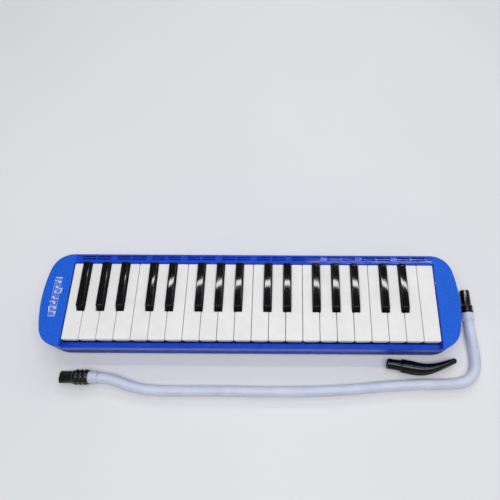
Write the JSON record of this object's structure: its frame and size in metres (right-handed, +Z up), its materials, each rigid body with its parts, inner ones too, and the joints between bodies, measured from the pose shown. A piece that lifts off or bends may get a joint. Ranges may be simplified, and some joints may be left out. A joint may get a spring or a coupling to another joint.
{
  "type": "melodica",
  "caption": "Blown keyboard instrument with hinged piano keys over a reed chamber, a blow socket, a drain button, a blowing hose with plug and a short mouthpiece.",
  "frame": {"origin": "on the surface the instrument stands on, under the middle of its case, at the underside of the middle foot", "axes": "+X from the bass end to the treble end along the keyboard, +Y from the player's edge to the rear edge, +Z up out of the keys"},
  "size_m": [0.5084, 0.159, 0.0478],
  "materials": {
    "case_blue": "satin",
    "case_under": "satin",
    "white_key": "glossy",
    "black_key": "glossy",
    "inner_plastic": "matte",
    "steel": "brushed",
    "reed_brass": "satin",
    "black_rubber": "matte",
    "felt": "matte",
    "strap": "grained",
    "hose_milky": "satin",
    "mouthpiece_black": "glossy"
  },
  "bodies": {
    "case": {"bottom_case": "case_under", "top_case": "case_blue", "key_shaft": "steel", "key_springs": "steel", "key_felts": "felt", "wind_chamber": "inner_plastic", "chamber_gasket": "black_rubber", "reed_plate": "reed_brass", "reeds": "reed_brass", "reed_rivets": "reed_brass", "cell_block": "inner_plastic", "chamber_screws": "steel", "case_screws": "steel", "hand_strap": "strap", "strap_plates": "steel", "blow_socket": "mouthpiece_black", "drain_spring": "steel"},
    "key_f3": {"key_f3": "white_key"},
    "key_fs3": {"key_fs3": "black_key"},
    "key_g3": {"key_g3": "white_key"},
    "key_gs3": {"key_gs3": "black_key"},
    "key_a3": {"key_a3": "white_key"},
    "key_as3": {"key_as3": "black_key"},
    "key_b3": {"key_b3": "white_key"},
    "key_c4": {"key_c4": "white_key"},
    "key_cs4": {"key_cs4": "black_key"},
    "key_d4": {"key_d4": "white_key"},
    "key_ds4": {"key_ds4": "black_key"},
    "key_e4": {"key_e4": "white_key"},
    "key_f4": {"key_f4": "white_key"},
    "key_fs4": {"key_fs4": "black_key"},
    "key_g4": {"key_g4": "white_key"},
    "key_gs4": {"key_gs4": "black_key"},
    "key_a4": {"key_a4": "white_key"},
    "key_as4": {"key_as4": "black_key"},
    "key_b4": {"key_b4": "white_key"},
    "key_c5": {"key_c5": "white_key"},
    "key_cs5": {"key_cs5": "black_key"},
    "key_d5": {"key_d5": "white_key"},
    "key_ds5": {"key_ds5": "black_key"},
    "key_e5": {"key_e5": "white_key"},
    "key_f5": {"key_f5": "white_key"},
    "key_fs5": {"key_fs5": "black_key"},
    "key_g5": {"key_g5": "white_key"},
    "key_gs5": {"key_gs5": "black_key"},
    "key_a5": {"key_a5": "white_key"},
    "key_as5": {"key_as5": "black_key"},
    "key_b5": {"key_b5": "white_key"},
    "key_c6": {"key_c6": "white_key"},
    "key_cs6": {"key_cs6": "black_key"},
    "key_d6": {"key_d6": "white_key"},
    "key_ds6": {"key_ds6": "black_key"},
    "key_e6": {"key_e6": "white_key"},
    "key_f6": {"key_f6": "white_key"},
    "drain_valve": {"drain_button": "mouthpiece_black", "drain_seal": "black_rubber"},
    "hose_set": {"hose": "hose_milky", "hose_connector": "mouthpiece_black", "hose_mouthpiece": "mouthpiece_black"},
    "mouthpiece": {"short_mouthpiece": "mouthpiece_black"}
  },
  "joints": [
    {"name": "key_f3_press", "type": "hinge", "parent": "case", "child": "key_f3", "pos_m": [0, 0.026, 0.029], "axis": [1, 0, 0], "range_deg": [0, 3], "stiffness_Nm_per_rad": 0.2, "springref_deg": -11.46},
    {"name": "key_fs3_press", "type": "hinge", "parent": "case", "child": "key_fs3", "pos_m": [0, 0.026, 0.029], "axis": [1, 0, 0], "range_deg": [0, 3.8], "stiffness_Nm_per_rad": 0.2, "springref_deg": -11.46},
    {"name": "key_g3_press", "type": "hinge", "parent": "case", "child": "key_g3", "pos_m": [0, 0.026, 0.029], "axis": [1, 0, 0], "range_deg": [0, 3], "stiffness_Nm_per_rad": 0.2, "springref_deg": -11.46},
    {"name": "key_gs3_press", "type": "hinge", "parent": "case", "child": "key_gs3", "pos_m": [0, 0.026, 0.029], "axis": [1, 0, 0], "range_deg": [0, 3.8], "stiffness_Nm_per_rad": 0.2, "springref_deg": -11.46},
    {"name": "key_a3_press", "type": "hinge", "parent": "case", "child": "key_a3", "pos_m": [0, 0.026, 0.029], "axis": [1, 0, 0], "range_deg": [0, 3], "stiffness_Nm_per_rad": 0.2, "springref_deg": -11.46},
    {"name": "key_as3_press", "type": "hinge", "parent": "case", "child": "key_as3", "pos_m": [0, 0.026, 0.029], "axis": [1, 0, 0], "range_deg": [0, 3.8], "stiffness_Nm_per_rad": 0.2, "springref_deg": -11.46},
    {"name": "key_b3_press", "type": "hinge", "parent": "case", "child": "key_b3", "pos_m": [0, 0.026, 0.029], "axis": [1, 0, 0], "range_deg": [0, 3], "stiffness_Nm_per_rad": 0.2, "springref_deg": -11.46},
    {"name": "key_c4_press", "type": "hinge", "parent": "case", "child": "key_c4", "pos_m": [0, 0.026, 0.029], "axis": [1, 0, 0], "range_deg": [0, 3], "stiffness_Nm_per_rad": 0.2, "springref_deg": -11.46},
    {"name": "key_cs4_press", "type": "hinge", "parent": "case", "child": "key_cs4", "pos_m": [0, 0.026, 0.029], "axis": [1, 0, 0], "range_deg": [0, 3.8], "stiffness_Nm_per_rad": 0.2, "springref_deg": -11.46},
    {"name": "key_d4_press", "type": "hinge", "parent": "case", "child": "key_d4", "pos_m": [0, 0.026, 0.029], "axis": [1, 0, 0], "range_deg": [0, 3], "stiffness_Nm_per_rad": 0.2, "springref_deg": -11.46},
    {"name": "key_ds4_press", "type": "hinge", "parent": "case", "child": "key_ds4", "pos_m": [0, 0.026, 0.029], "axis": [1, 0, 0], "range_deg": [0, 3.8], "stiffness_Nm_per_rad": 0.2, "springref_deg": -11.46},
    {"name": "key_e4_press", "type": "hinge", "parent": "case", "child": "key_e4", "pos_m": [0, 0.026, 0.029], "axis": [1, 0, 0], "range_deg": [0, 3], "stiffness_Nm_per_rad": 0.2, "springref_deg": -11.46},
    {"name": "key_f4_press", "type": "hinge", "parent": "case", "child": "key_f4", "pos_m": [0, 0.026, 0.029], "axis": [1, 0, 0], "range_deg": [0, 3], "stiffness_Nm_per_rad": 0.2, "springref_deg": -11.46},
    {"name": "key_fs4_press", "type": "hinge", "parent": "case", "child": "key_fs4", "pos_m": [0, 0.026, 0.029], "axis": [1, 0, 0], "range_deg": [0, 3.8], "stiffness_Nm_per_rad": 0.2, "springref_deg": -11.46},
    {"name": "key_g4_press", "type": "hinge", "parent": "case", "child": "key_g4", "pos_m": [0, 0.026, 0.029], "axis": [1, 0, 0], "range_deg": [0, 3], "stiffness_Nm_per_rad": 0.2, "springref_deg": -11.46},
    {"name": "key_gs4_press", "type": "hinge", "parent": "case", "child": "key_gs4", "pos_m": [0, 0.026, 0.029], "axis": [1, 0, 0], "range_deg": [0, 3.8], "stiffness_Nm_per_rad": 0.2, "springref_deg": -11.46},
    {"name": "key_a4_press", "type": "hinge", "parent": "case", "child": "key_a4", "pos_m": [0, 0.026, 0.029], "axis": [1, 0, 0], "range_deg": [0, 3], "stiffness_Nm_per_rad": 0.2, "springref_deg": -11.46},
    {"name": "key_as4_press", "type": "hinge", "parent": "case", "child": "key_as4", "pos_m": [0, 0.026, 0.029], "axis": [1, 0, 0], "range_deg": [0, 3.8], "stiffness_Nm_per_rad": 0.2, "springref_deg": -11.46},
    {"name": "key_b4_press", "type": "hinge", "parent": "case", "child": "key_b4", "pos_m": [0, 0.026, 0.029], "axis": [1, 0, 0], "range_deg": [0, 3], "stiffness_Nm_per_rad": 0.2, "springref_deg": -11.46},
    {"name": "key_c5_press", "type": "hinge", "parent": "case", "child": "key_c5", "pos_m": [0, 0.026, 0.029], "axis": [1, 0, 0], "range_deg": [0, 3], "stiffness_Nm_per_rad": 0.2, "springref_deg": -11.46},
    {"name": "key_cs5_press", "type": "hinge", "parent": "case", "child": "key_cs5", "pos_m": [0, 0.026, 0.029], "axis": [1, 0, 0], "range_deg": [0, 3.8], "stiffness_Nm_per_rad": 0.2, "springref_deg": -11.46},
    {"name": "key_d5_press", "type": "hinge", "parent": "case", "child": "key_d5", "pos_m": [0, 0.026, 0.029], "axis": [1, 0, 0], "range_deg": [0, 3], "stiffness_Nm_per_rad": 0.2, "springref_deg": -11.46},
    {"name": "key_ds5_press", "type": "hinge", "parent": "case", "child": "key_ds5", "pos_m": [0, 0.026, 0.029], "axis": [1, 0, 0], "range_deg": [0, 3.8], "stiffness_Nm_per_rad": 0.2, "springref_deg": -11.46},
    {"name": "key_e5_press", "type": "hinge", "parent": "case", "child": "key_e5", "pos_m": [0, 0.026, 0.029], "axis": [1, 0, 0], "range_deg": [0, 3], "stiffness_Nm_per_rad": 0.2, "springref_deg": -11.46},
    {"name": "key_f5_press", "type": "hinge", "parent": "case", "child": "key_f5", "pos_m": [0, 0.026, 0.029], "axis": [1, 0, 0], "range_deg": [0, 3], "stiffness_Nm_per_rad": 0.2, "springref_deg": -11.46},
    {"name": "key_fs5_press", "type": "hinge", "parent": "case", "child": "key_fs5", "pos_m": [0, 0.026, 0.029], "axis": [1, 0, 0], "range_deg": [0, 3.8], "stiffness_Nm_per_rad": 0.2, "springref_deg": -11.46},
    {"name": "key_g5_press", "type": "hinge", "parent": "case", "child": "key_g5", "pos_m": [0, 0.026, 0.029], "axis": [1, 0, 0], "range_deg": [0, 3], "stiffness_Nm_per_rad": 0.2, "springref_deg": -11.46},
    {"name": "key_gs5_press", "type": "hinge", "parent": "case", "child": "key_gs5", "pos_m": [0, 0.026, 0.029], "axis": [1, 0, 0], "range_deg": [0, 3.8], "stiffness_Nm_per_rad": 0.2, "springref_deg": -11.46},
    {"name": "key_a5_press", "type": "hinge", "parent": "case", "child": "key_a5", "pos_m": [0, 0.026, 0.029], "axis": [1, 0, 0], "range_deg": [0, 3], "stiffness_Nm_per_rad": 0.2, "springref_deg": -11.46},
    {"name": "key_as5_press", "type": "hinge", "parent": "case", "child": "key_as5", "pos_m": [0, 0.026, 0.029], "axis": [1, 0, 0], "range_deg": [0, 3.8], "stiffness_Nm_per_rad": 0.2, "springref_deg": -11.46},
    {"name": "key_b5_press", "type": "hinge", "parent": "case", "child": "key_b5", "pos_m": [0, 0.026, 0.029], "axis": [1, 0, 0], "range_deg": [0, 3], "stiffness_Nm_per_rad": 0.2, "springref_deg": -11.46},
    {"name": "key_c6_press", "type": "hinge", "parent": "case", "child": "key_c6", "pos_m": [0, 0.026, 0.029], "axis": [1, 0, 0], "range_deg": [0, 3], "stiffness_Nm_per_rad": 0.2, "springref_deg": -11.46},
    {"name": "key_cs6_press", "type": "hinge", "parent": "case", "child": "key_cs6", "pos_m": [0, 0.026, 0.029], "axis": [1, 0, 0], "range_deg": [0, 3.8], "stiffness_Nm_per_rad": 0.2, "springref_deg": -11.46},
    {"name": "key_d6_press", "type": "hinge", "parent": "case", "child": "key_d6", "pos_m": [0, 0.026, 0.029], "axis": [1, 0, 0], "range_deg": [0, 3], "stiffness_Nm_per_rad": 0.2, "springref_deg": -11.46},
    {"name": "key_ds6_press", "type": "hinge", "parent": "case", "child": "key_ds6", "pos_m": [0, 0.026, 0.029], "axis": [1, 0, 0], "range_deg": [0, 3.8], "stiffness_Nm_per_rad": 0.2, "springref_deg": -11.46},
    {"name": "key_e6_press", "type": "hinge", "parent": "case", "child": "key_e6", "pos_m": [0, 0.026, 0.029], "axis": [1, 0, 0], "range_deg": [0, 3], "stiffness_Nm_per_rad": 0.2, "springref_deg": -11.46},
    {"name": "key_f6_press", "type": "hinge", "parent": "case", "child": "key_f6", "pos_m": [0, 0.026, 0.029], "axis": [1, 0, 0], "range_deg": [0, 3], "stiffness_Nm_per_rad": 0.2, "springref_deg": -11.46},
    {"name": "drain_press", "type": "slide", "parent": "case", "child": "drain_valve", "axis": [-1, 0, 0], "range_m": [0, 0.002], "stiffness_N_per_m": 300, "springref_m": -0.004, "deforming": ["drain_spring"]},
    {"name": "hose_set_lift", "type": "slide", "parent": "case", "child": "hose_set", "axis": [0, 0, 1], "range_m": [0, 0.1]},
    {"name": "mouthpiece_lift", "type": "slide", "parent": "case", "child": "mouthpiece", "axis": [0, 0, 1], "range_m": [0, 0.1]}
  ]
}
